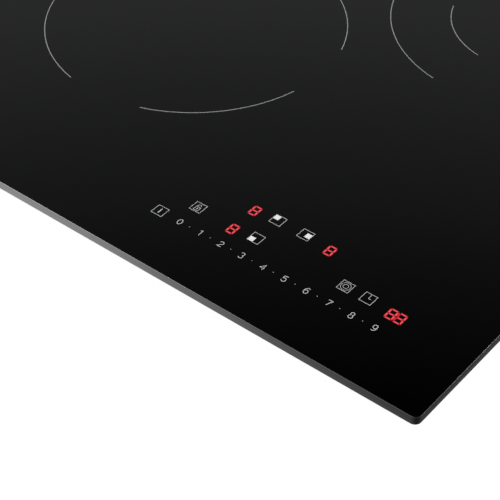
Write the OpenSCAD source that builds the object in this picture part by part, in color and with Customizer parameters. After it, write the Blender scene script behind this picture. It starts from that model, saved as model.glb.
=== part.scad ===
// Built-in induction cooktop with three zones: a black glass sheet on a folded steel casing,
// with spring-loaded coils, power electronics, blowers, touch controls and worktop clamps.
// X runs to the right, Y to the back and Z up. Z = 0 is the underside of the casing,
// below the centre of the glass.

/* [Glass] */
// Width of the glass, left to right
glass_w = 450; // [448:1:456]
// Depth of the glass, front to back
glass_d = 520; // [518:1:526]
// Thickness of the glass
glass_t = 5.6; // [4:0.2:6]
// Corner radius of the glass
glass_r = 4; // [2:0.5:8]
// Ground bevel round both faces
glass_bevel = 0.5; // [0.2:0.1:1]

/* [Cooking zones] */
// Distance of the left zones' centres from the right edge of the glass
left_zones_from_right = 312.9; // [310:0.1:314]
// Distance of the right zone's centre from the right edge of the glass
right_zone_from_right = 134.6; // [132:0.1:138]
// Distance of the front left zone's centre from the front edge of the glass
front_left_from_front = 198.7; // [196:0.1:200]
// Distance of the rear left zone's centre from the front edge of the glass
rear_left_from_front = 400; // [396:1:402]
// Distance of the right zone's centre from the front edge of the glass
right_from_front = 342; // [340:1:344]
// Diameter of the front left zone and of the right zone
large_zone_d = 200; // [190:1:200]
// Diameter of the rear left zone
small_zone_d = 145; // [140:1:150]
// Diameter of the inner part of the right zone
inner_zone_d = 120; // [110:1:125]

/* [Casing] */
// Height of the glass's underside above the surface that the casing stands on
casing_h = 50; // [50:0.5:52]
// Outer width of the casing
casing_w = 404; // [402:1:408]
// Outer depth of the casing
casing_d = 480; // [478:1:484]
// Thickness of the steel sheet
sheet = 0.8; // [0.7:0.1:1]
// Width of the step along both lower sides, where the clamps sit
step_w = 26; // [25:0.5:27]
// Height of that step
step_h = 26.2; // [26:0.1:27]
// Size of the sloped lower front edge
front_slope = 26; // [24:0.5:26]

/* [Worktop clamps] */
// Distance of the clamp screws from the middle of the glass, front and back
clamp_y = 150; // [130:5:160]
// Reach of a clamp arm from its screw
clamp_reach = 36; // [30:1:40]

/* [Controls] */
// Pitch of the slider's numbers
key_pitch = 15; // [14.6:0.1:15.2]

/* [Hidden] */
$fn = 48;
eps = 0.01;

// Plane of the zone centres, seen from above
left_x = glass_w / 2 - left_zones_from_right;
right_x = glass_w / 2 - right_zone_from_right;
front_left = [left_x, front_left_from_front - glass_d / 2];
rear_left = [left_x, rear_left_from_front - glass_d / 2];
right = [right_x, right_from_front - glass_d / 2];

// Glass, seal and frame
seal_t = 3;
seal_w = 8;
seal_inset = 6;
adhesive_t = 1;
adhesive_w = 7;
frame_t = 0.8;
frame_flange = 10;
frame_drop = 12;
frame_gap = 0.2;
frame_r = 4;
frame_w = casing_w - 2 * (sheet + frame_gap);
frame_d = casing_d - 2 * (sheet + frame_gap);
frame_top = casing_h - adhesive_t;

// Casing
casing_r = 5;
casing_rim = casing_h - 0.8;
lower_w = casing_w - 2 * step_w;
ledge_top = step_h + sheet;
front_y = -casing_d / 2;
rear_y = casing_d / 2;

// Stiffening beads pressed up into the bottom
bead_x = [-150, 0, 150];
bead_y = -40;
bead_l = 250;
bead_w = 9;
bead_h = 1.2;
bead_top = sheet + bead_h;

// Coil plate and coils, from the plate upwards
plate_t = 1.5;
plate_top = ledge_top + plate_t;
plate_half_w = casing_w / 2 - step_w + 7;
plate_front = front_y + 72;
plate_rear = rear_y - 8;
coil_margin = 5;
coil_top = casing_h - 0.1;
insulation_t = 1.4;
winding_t = 4.4;
carrier_t = 2.6;
ferrite_t = 4.5;
carrier_bottom = coil_top - insulation_t - winding_t - carrier_t;
winding_bottom = carrier_bottom + carrier_t;
litz_pitch = 3.8;
core_r = 20;
sensor_r = 5;
sensor_flange_r = 13;
spring_r = 5;
spring_wire_r = 0.6;
spring_turns = 4;
lead_r = 1.9;
large_coil_r = large_zone_d / 2 - coil_margin;
small_coil_r = small_zone_d / 2 - coil_margin + 0.5;
inner_coil_r = inner_zone_d / 2 - coil_margin;
large_bars = 8;
small_bars = 6;
large_spring_angles = [22.5, 157.5, 292.5];
small_spring_angles = [30, 150, 270];
front_left_leads = [[18, 56], [28, 56]];
rear_left_leads = [[47, -40], [41, -34]];
right_leads = [[-56, -23], [-63, -27], [-41, -17], [-48, -20]];

// Power boards and what stands on them
board_t = 1.6;
board_bottom = 5;
board_top = board_bottom + board_t;
board_inner_x = 8;
board_outer_x = 170;
board_front = -175;
board_rear = 108;
heatsink_x = 98;
heatsink_w = 48;
heatsink_front = -60;
heatsink_l = 150;
heatsink_base = 3;
heatsink_top = 24;
fin_count = 9;
fin_t = 1.4;
transistor_h = 4;
screw_shank_r = 1.5;

// Blowers
fan_x = 85;
fan_y = 152;
fan_bottom = sheet;
fan_top = 25;
fan_wall = 1.6;
fan_house_r = 36;
fan_inlet_r = 23;
impeller_r = 29;
impeller_h = 14;
impeller_bottom = 5;
impeller_plate = 1.4;
blade_count = 24;
blade_l = 8;
blade_t = 0.9;
hub_r = 11;
stator_r = 9;
fan_shaft_r = 1.5;
bearing_gap = 0.05;

// Touch controls, from the front right corner of the glass
number_x = -188.9;
number_y = 39.1;
control_board_z = 39.4;
control_top = 49.7;
key_xy = concat(
    [for (i = [0:9]) [number_x + i * key_pitch, number_y]],
    [[-204, 39.1], [-189, 55], [-146.6, 55.1], [-146.6, 74.8], [-126.8, 74.8], [-84.4, 55], [-69.5, 55]]
);
digit_xy = [[-161.9, 73], [-161.9, 52.9], [-108.2, 72.6]];
timer_digits_xy = [-50.1, 52.9];
digit_size = [7.6, 12.8];
control_size = [186, 60];
control_centre = [glass_w / 2 - 126, 57 - glass_d / 2];
ribbon_x = -8;
ribbon_z = control_board_z - 2;

// Mains terminals, behind a lid in the rear wall
terminal_x = -126;
terminal_w = 90;
terminal_front = 196;
terminal_rear = rear_y - sheet - 0.4;
terminal_bottom = sheet + 0.1;
terminal_top = 25.5;
terminal_wall = 2;
terminal_block_y = [204, 221];
pole_count = 6;
pole_pitch = 10;
pole_z = [7.5, 15];
pole_screw_y = 216;
inlet_x = terminal_x + 34;
inlet_z = 13;
inlet_r = 7;
inlet_wall = 2.5;
inlet_end = rear_y + 6;
lid_x = terminal_x - 9;
lid_w = 66;
lid_t = 2;
lid_gap = 0.3;
lid_low = 1.2;
lid_high = 23.5;
hinge_y = rear_y + 2.6;
hinge_z = 24.5;
hinge_pin_r = 1.2;
hinge_lug_r = 2.2;
ear_gap = 0.4;
ear_t = 2.8;
ear_reach = lid_w / 2 + ear_gap + ear_t;
ear_low = 21.5;
ear_high = hinge_z + hinge_lug_r;
wire_x = [-155, -149, -143];
wire_z = 14;
wire_end_y = 100;
wire_bend_r = 4;

// Worktop clamps
clamp_x = casing_w / 2 - 13;
clamp_screw_r = 2;
clamp_head_r = 4;
clamp_head_h = 2.6;
clamp_head_z = 2;
clamp_arm_z = clamp_head_z + clamp_head_h + 0.1;
clamp_arm_w = 16;
clamp_arm_t = 2;
tooth_w = clamp_arm_w / 6;

// ---- Shapes that repeat ----

// Rectangle with round corners, about its centre
module rounded(w, d, r) {
    square([w - 2 * r, d], center = true);
    square([w, d - 2 * r], center = true);
    for (x = [-1, 1], y = [-1, 1])
        translate([x * (w / 2 - r), y * (d / 2 - r)]) circle(r);
}

// Slot of length l and width w with round ends, along X
module slot(l, w) {
    square([l - w, w], center = true);
    for (x = [-1, 1]) translate([x * (l - w) / 2, 0]) circle(w / 2);
}

// Rectangular ring of one width, with round outer corners
module ring(w, d, width, r) {
    difference() {
        rounded(w, d, r);
        square([w - 2 * width, d - 2 * width], center = true);
    }
}

// Block from its lowest to its highest corner
module block(low, high) {
    translate(low) cube(high - low);
}

// Tube along Z
module tube(r_out, r_in, h) {
    difference() {
        cylinder(r = r_out, h = h);
        translate([0, 0, -1]) cylinder(r = r_in, h = h + 2);
    }
}

// Cross recess cut down to a depth from z = 0
module cross_recess(l, w, depth)
    for (a = [0, 90]) rotate(a) cube([l, w, 2 * depth], center = true);

// Pan head screw; its head's seat is at z = 0 and its shank points down
module sheet_screw() {
    head_h = 1.7;
    shank_l = 5;
    difference() {
        union() {
            cylinder(r = 3, h = head_h);
            translate([0, 0, -shank_l]) cylinder(r = screw_shank_r, h = shank_l + eps);
        }
        translate([0, 0, head_h]) cross_recess(3.3, 0.8, 0.9);
    }
}

// Slab with round corners and bevelled edges round both faces, standing on z = 0
module bevelled_slab(w, d, t, r, c) {
    module section(l) {
        polygon([
            [-l / 2 + c, 0], [l / 2 - c, 0], [l / 2, c], [l / 2, t - c],
            [l / 2 - c, t], [-l / 2 + c, t], [-l / 2, t - c], [-l / 2, c]
        ]);
    }
    rotate([90, 0, 0]) linear_extrude(d - 2 * r, center = true) section(w);
    rotate([90, 0, 90]) linear_extrude(w - 2 * r, center = true) section(d);
    for (x = [-1, 1], y = [-1, 1])
        translate([x * (w / 2 - r), y * (d / 2 - r), 0])
            rotate_extrude()
                polygon([[0, 0], [r - c, 0], [r, c], [r, t - c], [r - c, t], [0, t]]);
}

// Points of a coil spring: six-sided rings along a helix
function helix_points(r, wire_r, h, turns, steps) = [
    for (i = [0:steps], k = [0:5])
        let (a = 360 * turns * i / steps, b = 60 * k, rr = r + wire_r * cos(b))
            [rr * cos(a), rr * sin(a), wire_r + (h - 2 * wire_r) * i / steps + wire_r * sin(b)]
];

// Faces that close the six-sided tube
function helix_faces(steps) = concat(
    [[for (k = [0:5]) k]],
    [for (i = [0:steps - 1], k = [0:5])
        let (n = (k + 1) % 6) [6 * i + k, 6 * i + 6 + k, 6 * i + 6 + n, 6 * i + n]],
    [[for (k = [5:-1:0]) 6 * steps + k]]
);

module coil_spring(r, wire_r, h, turns) {
    steps = 8 * turns;
    polyhedron(helix_points(r, wire_r, h, turns, steps), helix_faces(steps));
}

// ---- Glass and its frame ----

module glass_top() color("#0a0a0b")
    translate([0, 0, casing_h]) bevelled_slab(glass_w, glass_d, glass_t, glass_r, glass_bevel);

// Foam tape under the rim, laid as four strips that butt at the corners
module worktop_seal() color("#2b2b2d") {
    half = [glass_w / 2 - seal_inset, glass_d / 2 - seal_inset];
    for (side = [-1, 1]) {
        translate([side * (half.x - seal_w / 2), 0, casing_h - seal_t / 2])
            cube([seal_w, 2 * half.y, seal_t], center = true);
        translate([0, side * (half.y - seal_w / 2), casing_h - seal_t / 2])
            cube([2 * (half.x - seal_w), seal_w, seal_t], center = true);
    }
}

module glass_adhesive() color("#1a1a1a")
    translate([0, 0, frame_top]) linear_extrude(adhesive_t)
        ring(frame_w - 2, frame_d - 2, adhesive_w, frame_r - 1);

// Places its child at each casing screw, with +Z pointing out of the wall
module at_casing_screws(x, y) {
    for (side = [-1, 1]) {
        for (along = [-170, 0, 170])
            translate([side * x, along, frame_top - 7]) rotate([0, side * 90, 0]) children();
        for (along = [-110, 110])
            translate([along, side * y, frame_top - 7]) rotate([-side * 90, 0, 0]) children();
    }
}

module glass_frame() color("#9fa3a6")
    difference() {
        union() {
            translate([0, 0, frame_top - frame_t]) linear_extrude(frame_t)
                ring(frame_w, frame_d, frame_flange, frame_r);
            translate([0, 0, frame_top - frame_drop]) linear_extrude(frame_drop)
                difference() {
                    rounded(frame_w, frame_d, frame_r);
                    rounded(frame_w - 2 * frame_t, frame_d - 2 * frame_t, frame_r - frame_t);
                }
        }
        at_casing_screws(frame_w / 2, frame_d / 2)
            cylinder(r = screw_shank_r + 0.1, h = 6, center = true);
    }

// ---- Casing ----

// Side outline of the lower casing, y across and z up, drawn in by the sheet thickness s
module lower_outline(s, top) {
    lean = s * sqrt(2) - s;
    polygon([
        [front_y + s, top], [front_y + s, front_slope + lean], [front_y + front_slope + lean, s],
        [rear_y - s, s], [rear_y - s, top]
    ]);
}

module casing_volume(s, top) {
    translate([0, 0, step_h + s]) linear_extrude(top - step_h - s)
        rounded(casing_w - 2 * s, casing_d - 2 * s, casing_r - s);
    rotate([90, 0, 90]) linear_extrude(lower_w - 2 * s, center = true) lower_outline(s, step_h + s + 1);
}

// Round grille of parallel slots under a blower
module intake_grille() {
    pitch = 6.4;
    for (i = [-3:3]) translate([0, i * pitch])
        slot(2 * sqrt(pow(fan_inlet_r + 4, 2) - pow(i * pitch, 2)), 3.4);
}

// The beads' outer faces, or with grow and depth their inner ones
module bottom_beads(grow, depth) {
    for (x = bead_x)
        translate([x, bead_y, -1]) linear_extrude(depth + 1) rotate(90) slot(bead_l + grow, bead_w + grow);
}

module casing_vents() {
    for (side = [-1, 1])
        translate([side * fan_x, fan_y, -1]) linear_extrude(sheet + 2) intake_grille();
    // exhaust slots through the sloped front
    for (i = [-10:10])
        translate([i * 15.5, front_y + front_slope / 2, front_slope / 2]) rotate([45, 0, 0])
            linear_extrude(8, center = true) rotate(90) slot(17, 4);
    // exhaust slots through the front and rear walls
    for (i = [-11:11])
        translate([i * 15.5, front_y, 33]) rotate([90, 0, 0])
            linear_extrude(6, center = true) rotate(90) slot(7, 3.2);
    for (i = [-1:9])
        translate([i * 15.5, rear_y, 15]) rotate([90, 0, 0])
            linear_extrude(6, center = true) rotate(90) slot(13, 3.2);
    for (side = [-1, 1], i = [-4:4])
        translate([side * casing_w / 2, i * 13, 34]) rotate([90, 0, 90])
            linear_extrude(6, center = true) rotate(90) slot(9, 3);
}

module casing_tray() color("#b9bdbf") {
    difference() {
        difference() {
            casing_volume(0, casing_rim);
            bottom_beads(0, bead_h);
        }
        difference() {
            casing_volume(sheet, casing_rim + 1);
            bottom_beads(2 * sheet, bead_top);
        }
        casing_vents();
        at_casing_screws(casing_w / 2, casing_d / 2)
            cylinder(r = screw_shank_r + 0.1, h = 6, center = true);
        at_plate_screws() cylinder(r = screw_shank_r + 0.1, h = 12, center = true);
        at_clamps() translate([0, 0, step_h - 2]) cylinder(r = clamp_screw_r + bearing_gap, h = 8);
        // openings for the terminals' lid, its hinge ears and the cable inlet
        block([lid_x - lid_w / 2 + 1, rear_y - 2, lid_low + 1], [lid_x + lid_w / 2 - 1, rear_y + 1, 23]);
        block(
            [lid_x - ear_reach - 0.3, rear_y - 2, ear_low - 0.3],
            [lid_x + ear_reach + 0.3, rear_y + 1, ear_high + 0.3]
        );
        translate([inlet_x, rear_y, inlet_z]) rotate([90, 0, 0])
            cylinder(r = inlet_r + inlet_wall + 0.2, h = 6, center = true);
    }
    // threaded collars that hold the clamp screws
    at_clamps() translate([0, 0, ledge_top - eps]) tube(4, clamp_screw_r + bearing_gap, 4);
}

// All the sheet metal screws are alike: round the rim, along the coil plate and at the boards' corners
module casing_screws() color("#d7d9da") {
    at_casing_screws(casing_w / 2, casing_d / 2) sheet_screw();
    translate([0, 0, plate_t]) at_plate_screws() sheet_screw();
    translate([0, 0, board_top]) at_board_screws() sheet_screw();
}

// ---- Coils ----

// Coil former: a flat dish with spring cups below
module carrier(r, spring_angles) {
    difference() {
        union() {
            translate([0, 0, carrier_bottom]) cylinder(r = r, h = carrier_t);
            translate([0, 0, winding_bottom - eps]) tube(r, r - 1.2, winding_t - 0.4);
            for (a = spring_angles) rotate(a) translate([r - 12, 0, carrier_bottom - 2])
                tube(spring_r + 2.4, spring_r + 1.2, 2 + eps);
        }
        translate([0, 0, carrier_bottom - 1]) cylinder(r = sensor_r + 0.4, h = carrier_t + 2);
    }
}

// Flat coil of stranded wire whose turns are bonded side by side
module winding(r_in, r_out) {
    turns = floor((r_out - r_in) / litz_pitch);
    wire_r = winding_t / 2;
    rotate_extrude() for (i = [0:turns - 1])
        translate([r_in + wire_r + i * litz_pitch, winding_bottom + wire_r]) circle(wire_r, $fn = 24);
}

module ferrites(r, count) {
    inner = sensor_flange_r + 5;
    for (i = [0:count - 1]) rotate(i * 360 / count)
        translate([inner, -6, carrier_bottom - ferrite_t]) cube([r - 4 - inner, 12, ferrite_t]);
}

module insulation(r)
    translate([0, 0, coil_top - insulation_t]) tube(r, sensor_r + 0.6, insulation_t);

// Temperature sensor that presses on the glass from the middle of the coil
module sensor() {
    translate([0, 0, carrier_bottom - 2]) cylinder(r = sensor_flange_r, h = 2);
    translate([0, 0, carrier_bottom - eps]) cylinder(r = sensor_r, h = coil_top - carrier_bottom);
}

module springs(r, angles)
    for (a = angles) rotate(a) translate([r - 12, 0, plate_top])
        coil_spring(spring_r, spring_wire_r, carrier_bottom - plate_top, spring_turns);

// Sleeved lead pairs that drop from the coil to the power board, each on a tab
module leads(offsets)
    for (p = offsets) translate([p.x, p.y, board_top]) {
        translate([-2.4, -0.4, 0]) cube([4.8, 0.8, 6]);
        translate([0, 0, 4]) cylinder(r = lead_r, h = carrier_bottom - board_top - 4);
    }

module carrier_front_left() color("#d8d4c8")
    translate(front_left) carrier(large_coil_r, large_spring_angles);
module winding_front_left() color("#b5622c") translate(front_left) winding(core_r, large_coil_r - 1.4);
module ferrites_front_left() color("#3a3a3c") translate(front_left) ferrites(large_coil_r, large_bars);
module insulation_front_left() color("#e8e3d2") translate(front_left) insulation(large_coil_r);
module sensor_front_left() color("#f2f2ee") translate(front_left) sensor();
module springs_front_left() color("#c8cacc")
    translate(front_left) springs(large_coil_r, large_spring_angles);
module leads_front_left() color("#c9c2b4") translate(front_left) leads(front_left_leads);

module carrier_rear_left() color("#d8d4c8") translate(rear_left) carrier(small_coil_r, small_spring_angles);
module winding_rear_left() color("#b5622c") translate(rear_left) winding(core_r, small_coil_r - 1.4);
module ferrites_rear_left() color("#3a3a3c") translate(rear_left) ferrites(small_coil_r, small_bars);
module insulation_rear_left() color("#e8e3d2") translate(rear_left) insulation(small_coil_r);
module sensor_rear_left() color("#f2f2ee") translate(rear_left) sensor();
module springs_rear_left() color("#c8cacc") translate(rear_left) springs(small_coil_r, small_spring_angles);
module leads_rear_left() color("#c9c2b4") translate(rear_left) leads(rear_left_leads);

module carrier_right() color("#d8d4c8") translate(right) carrier(large_coil_r, large_spring_angles);
module winding_right_inner() color("#b5622c") translate(right) winding(core_r, inner_coil_r);
module winding_right_outer() color("#b5622c")
    translate(right) winding(inner_coil_r + 7, large_coil_r - 1.4);
module ferrites_right() color("#3a3a3c") translate(right) ferrites(large_coil_r, large_bars);
module insulation_right() color("#e8e3d2") translate(right) insulation(large_coil_r);
module sensor_right() color("#f2f2ee") translate(right) sensor();
module springs_right() color("#c8cacc") translate(right) springs(large_coil_r, large_spring_angles);
module leads_right() color("#c9c2b4") translate(right) leads(right_leads);

// ---- Coil plate and its screws ----

module at_plate_screws()
    for (x = [-1, 1], y = [-110, 0, 110, 200])
        translate([x * (plate_half_w - 3), y, ledge_top]) children();

module lead_holes(centre, offsets)
    translate(centre) for (p = offsets)
        translate([p.x, p.y, ledge_top - 1]) cylinder(r = lead_r + 2, h = plate_t + 2);

module coil_plate() color("#cfd2d4")
    difference() {
        block([-plate_half_w, plate_front, ledge_top], [plate_half_w, plate_rear, plate_top]);
        for (c = [front_left, rear_left, right])
            translate([c.x, c.y, ledge_top - 1]) cylinder(r = 9, h = plate_t + 2);
        lead_holes(front_left, front_left_leads);
        lead_holes(rear_left, rear_left_leads);
        lead_holes(right, right_leads);
        at_plate_screws() cylinder(r = screw_shank_r + 0.1, h = 12, center = true);
        at_clamps() translate([0, 0, ledge_top - 1]) cylinder(r = 5.5, h = plate_t + 2);
    }

// Places its child at each corner of both power boards
module at_board_screws()
    for (side = [-1, 1], x = [board_inner_x + 5, board_outer_x - 5], y = [board_front + 6, board_rear - 6])
        translate([side * x, y, 0]) children();

// ---- Power electronics ----

module board_cradle() color("#2f3133")
    difference() {
        union() {
            block([-board_outer_x - 2, board_front - 3, bead_top], [board_outer_x + 2, board_rear + 2, 3.6]);
            at_board_screws() translate([0, 0, bead_top]) cylinder(r = 4, h = board_bottom - bead_top);
        }
        at_board_screws() cylinder(r = screw_shank_r + 0.05, h = board_bottom + 1);
    }

module power_board(side) color("#2f5d3a")
    difference() {
        translate([side * (board_inner_x + board_outer_x) / 2, (board_front + board_rear) / 2, board_bottom])
            linear_extrude(board_t) rounded(board_outer_x - board_inner_x, board_rear - board_front, 3);
        at_board_screws() cylinder(r = screw_shank_r + 0.1, h = board_top + 1);
    }

module power_board_left() power_board(-1);
module power_board_right() power_board(1);

module heatsink(side) color("#aeb3b6") {
    low = board_top + transistor_h;
    translate([side * heatsink_x, heatsink_front, 0]) {
        block([-heatsink_w / 2, 0, low], [heatsink_w / 2, heatsink_l, low + heatsink_base]);
        for (i = [0:fin_count - 1])
            translate([-heatsink_w / 2 + i * (heatsink_w - fin_t) / (fin_count - 1), 0, low])
                cube([fin_t, heatsink_l, heatsink_top - low]);
    }
}

module heatsink_left() heatsink(-1);
module heatsink_right() heatsink(1);

// Flat power transistors and rectifiers, clamped between the boards and the heat sinks
module power_transistors() color("#1c1c1e")
    for (side = [-1, 1], y = [-50, -15, 20, 55])
        translate([side * heatsink_x, heatsink_front + 75 + y, board_top]) {
            block([-8, -10, 0], [8, 10, transistor_h]);
            for (x = [-5.4, 0, 5.4]) block([x - 0.6, -16, 0], [x + 0.6, -10, 1]);
        }

module film_capacitors() color("#b23a2e")
    for (side = [-1, 1], i = [0:2])
        translate([side * 148, -140 + i * 44, board_top]) linear_extrude(16) rounded(20, 34, 1.5);

// Ring cores wound with thick wire
module filter_chokes() color("#c27a3c")
    for (side = [-1, 1], y = [-130, -95])
        translate([side * 98, y, board_top]) difference() {
            cylinder(r = 15, h = 13);
            translate([0, 0, -1]) cylinder(r = 6.5, h = 15);
            for (a = [0:30:330]) rotate(a) translate([15, 0, -1]) cylinder(r = 1.6, h = 15);
        }

module relays() color("#24272b")
    for (side = [-1, 1], y = [-150, -118, -86])
        translate([side * 50, y, board_top]) linear_extrude(15.5) rounded(13, 28, 1);

// ---- Blowers ----

module fan_housing(side) color("#26282a")
    translate([side * fan_x, fan_y, 0]) difference() {
        union() {
            translate([0, 0, fan_bottom]) cylinder(r = fan_house_r, h = fan_top - fan_bottom);
            block([-fan_house_r, -fan_house_r - 2, fan_bottom], [fan_house_r - 14, 0, fan_top]);
            // screw lugs
            for (a = [60, 180, 300]) rotate(a) translate([fan_house_r + 2, 0, fan_bottom])
                cylinder(r = 4, h = 3);
        }
        difference() {
            union() {
                translate([0, 0, fan_bottom + fan_wall])
                    cylinder(r = fan_house_r - fan_wall, h = fan_top - fan_bottom - 2 * fan_wall);
                block(
                    [-fan_house_r + fan_wall, -fan_house_r - 3, fan_bottom + fan_wall],
                    [fan_house_r - 14 - fan_wall, 0, fan_top - fan_wall]
                );
            }
            // motor boss that hangs inside the impeller's cup
            translate([0, 0, fan_top - 13]) cylinder(r = stator_r, h = 13);
        }
        translate([0, 0, fan_bottom - 1]) cylinder(r = fan_inlet_r, h = fan_wall + 2);
        // bearing of the impeller's shaft
        translate([0, 0, fan_top - 14]) cylinder(r = fan_shaft_r + bearing_gap, h = 11);
        for (a = [60, 180, 300]) rotate(a) translate([fan_house_r + 3.4, 0, fan_bottom - 1])
            cylinder(r = 1.2, h = 5);
    }

module fan_impeller(side) color("#101113")
    translate([side * fan_x, fan_y, impeller_bottom]) {
        // cup that turns round the motor boss
        difference() {
            cylinder(r = hub_r, h = impeller_h);
            translate([0, 0, 2]) cylinder(r = stator_r + 0.6, h = impeller_h);
        }
        translate([0, 0, 1]) cylinder(r = fan_shaft_r, h = impeller_h);
        // back plate, and the ring that ties the blades on the intake side
        translate([0, 0, impeller_h - impeller_plate]) tube(impeller_r, hub_r - 0.7, impeller_plate);
        tube(impeller_r, impeller_r - 1.2, 1.6);
        for (i = [0:blade_count - 1]) rotate(i * 360 / blade_count)
            translate([impeller_r - blade_l, 0, 0.4]) rotate(18)
                cube([blade_l - 0.3, blade_t, impeller_h - 1]);
    }

module fan_housing_left() fan_housing(-1);
module fan_housing_right() fan_housing(1);
module fan_impeller_left() fan_impeller(-1);
module fan_impeller_right() fan_impeller(1);

// ---- Touch controls ----

// Moves its child to a point given from the front right corner of the glass
module from_corner(p) translate([glass_w / 2 + p.x, p.y - glass_d / 2, 0]) children();

module control_board() color("#1f4a2e")
    translate([control_centre.x, control_centre.y, control_board_z]) {
        linear_extrude(board_t) rounded(control_size.x, control_size.y - 14, 2);
        // buzzer and connector below
        translate([-70, 0, -7]) cylinder(r = 6, h = 7 + eps);
        block([-20, 10, -6], [4, 17, eps]);
    }

module control_frame() color("#303235")
    translate([control_centre.x, control_centre.y, 0]) {
        difference() {
            union() {
                translate([0, 0, control_board_z - 7.4])
                    linear_extrude(10) rounded(control_size.x + 4, control_size.y - 10, 3);
                // tab that hooks on the front wall, and legs on the bottom
                block([-22, front_y + sheet - control_centre.y, 33], [22, -20, 35.5]);
                for (x = [-84, 64]) translate([x, 21.4, sheet]) cylinder(r = 2.9, h = control_board_z - 8);
            }
            translate([0, 0, control_board_z - 9])
                linear_extrude(9.001) rounded(control_size.x - 6, control_size.y - 20, 2);
            translate([0, 0, control_board_z])
                linear_extrude(10) rounded(control_size.x + 0.4, control_size.y - 13.6, 2);
            // way out for the ribbon
            block([ribbon_x - 7.5, 15, ribbon_z - 0.3], [ribbon_x + 7.5, 30, ribbon_z + 1.3]);
        }
    }

module digit_displays() color("#e9e9e6") {
    z = control_board_z + board_t;
    for (p = digit_xy) from_corner(p) translate([0, 0, z])
        linear_extrude(control_top - z) square(digit_size, center = true);
    from_corner(timer_digits_xy) translate([0, 0, z])
        linear_extrude(control_top - z) square([13, digit_size.y], center = true);
}

// Conductive contacts between the board and the glass, one under each key
module touch_springs() color("#c8cacc") {
    z = control_board_z + board_t;
    for (p = key_xy) from_corner(p) translate([0, 0, z]) {
        tube(3.4, 2.6, control_top - z);
        cylinder(r = 3.4, h = 0.8);
    }
}

// Flat cable from the control board's connector down to the right power board
module control_ribbon() color("#d9d6cc") {
    start = control_centre.y + 17;
    bend = start + 13;
    end = board_front + 14;
    translate([control_centre.x + ribbon_x, 0, 0]) rotate([90, 0, 90]) linear_extrude(14, center = true)
        polygon([
            [start, ribbon_z + 1], [start, ribbon_z], [bend, ribbon_z], [bend, 18], [end, 12],
            [end, board_top], [end + 1, board_top], [end + 1, 12.6], [bend + 1, 18.6],
            [bend + 1, ribbon_z + 1]
        ]);
}

// ---- Mains terminals ----

module terminal_box() color("#e4e2da") {
    half = terminal_w / 2;
    wall = terminal_wall;
    inner_rear = terminal_rear - wall;
    difference() {
        union() {
            block(
                [terminal_x - half, terminal_front, terminal_bottom],
                [terminal_x + half, terminal_rear, terminal_top]
            );
            // ears that carry the lid's pins
            for (side = [-1, 1]) translate([lid_x + side * (ear_reach - ear_t / 2), 0, 0])
                block([-ear_t / 2, terminal_rear - 3, ear_low], [ear_t / 2, hinge_y + hinge_lug_r, ear_high]);
            translate([inlet_x, inner_rear, inlet_z]) rotate([-90, 0, 0])
                cylinder(r = inlet_r + inlet_wall, h = inlet_end - inner_rear);
        }
        block(
            [terminal_x - half + wall, terminal_front + wall, terminal_bottom + wall],
            [terminal_x + half - wall, inner_rear, terminal_top - wall]
        );
        block([lid_x - 31, inner_rear - 1, terminal_bottom + wall], [lid_x + 31, terminal_rear + 1, 23]);
        translate([inlet_x, inner_rear - 1, inlet_z]) rotate([-90, 0, 0]) cylinder(r = inlet_r, h = 20);
        translate([lid_x, hinge_y, hinge_z]) rotate([0, 90, 0])
            cylinder(r = hinge_pin_r + bearing_gap, h = 2 * ear_reach + 2, center = true);
        for (x = wire_x) translate([x, terminal_front, wire_z]) rotate([90, 0, 0])
            cylinder(r = lead_r + 0.2, h = 6, center = true);
    }
}

// Places its child at each pole, at a height above the casing's underside, with +Z to the rear
module at_poles(y, z)
    for (i = [0:pole_count - 1])
        translate([lid_x + (i - (pole_count - 1) / 2) * pole_pitch, y, z]) rotate([-90, 0, 0]) children();

module terminal_block() color("#efece0")
    difference() {
        translate([lid_x, 0, 0])
            block([-31, terminal_block_y[0], terminal_bottom + terminal_wall], [31, terminal_block_y[1], 20]);
        at_poles(pole_screw_y, pole_z[1]) cylinder(r = 2.9, h = 10);
        at_poles(terminal_block_y[1], pole_z[0]) cylinder(r = 2.2, h = 24, center = true);
        // grooves between the poles
        for (i = [1:pole_count - 1]) translate([lid_x + (i - pole_count / 2) * pole_pitch, 0, 0])
            block([-0.6, terminal_block_y[1] - 3, 0], [0.6, terminal_block_y[1] + 1, 30]);
    }

module terminal_screws() color("#c9a95a")
    at_poles(pole_screw_y, pole_z[1]) difference() {
        cylinder(r = 2.7, h = 2.4);
        translate([0, 0, 2.4]) cross_recess(3.6, 0.8, 1.2);
    }

// Lid that hangs from two pins and swings up and out under the glass
module terminal_lid() color("#dedbd0") {
    inner_y = rear_y + lid_gap;
    translate([lid_x, 0, 0]) difference() {
        union() {
            block([-lid_w / 2, inner_y, lid_low], [lid_w / 2, inner_y + lid_t, lid_high]);
            for (side = [-1, 1]) translate([side * (lid_w / 2 - 3), hinge_y, hinge_z]) rotate([0, 90, 0]) {
                cylinder(r = hinge_lug_r, h = 6, center = true);
                translate([0, 0, side * 3.6]) cylinder(r = hinge_pin_r, h = 5, center = true);
            }
            // snap hook behind the lower edge
            block([-7, rear_y - 2.5, 4], [7, inner_y + 1, 5.2]);
            block([-7, rear_y - 2.5, 3.6], [7, rear_y - 1.4, 5.2]);
        }
        // screwdriver notch and finger ribs
        block([-5, inner_y + 0.8, 0], [5, inner_y + 3, 2.4]);
        for (i = [-2:2]) block([i * 5 - 1, inner_y + lid_t - 0.6, 7], [i * 5 + 1, inner_y + lid_t + 1, 18]);
    }
}

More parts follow.
